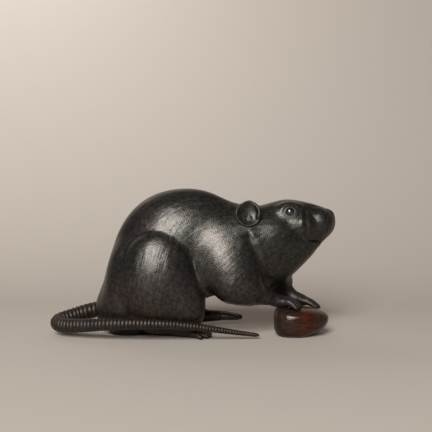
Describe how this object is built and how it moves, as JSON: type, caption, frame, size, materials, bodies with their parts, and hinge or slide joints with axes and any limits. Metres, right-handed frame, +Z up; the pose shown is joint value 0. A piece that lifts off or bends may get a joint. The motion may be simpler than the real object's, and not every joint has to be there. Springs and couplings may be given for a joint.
{
  "type": "okimono",
  "caption": "Cast bronze ornament of a crouching rat with its forepaws on a chestnut and its ringed tail curled round its side.",
  "frame": {"origin": "centre of the bounding box in plan, on the surface that the ornament stands on", "axes": "+Z up; +X from the tail's loop towards the rat's nose; the rat's right side, with the tail along it, faces -Y"},
  "size_m": [0.203, 0.0706, 0.1032],
  "materials": {
    "dark_bronze": "dark brown-black patina, hand-rubbed satin",
    "red_bronze": "red-brown patina, polished",
    "eye_black": "polished black"
  },
  "bodies": {
    "root": {"rat": "dark_bronze", "chestnut": "red_bronze", "eye_left": "eye_black", "eye_right": "eye_black"}
  },
  "joints": []
}
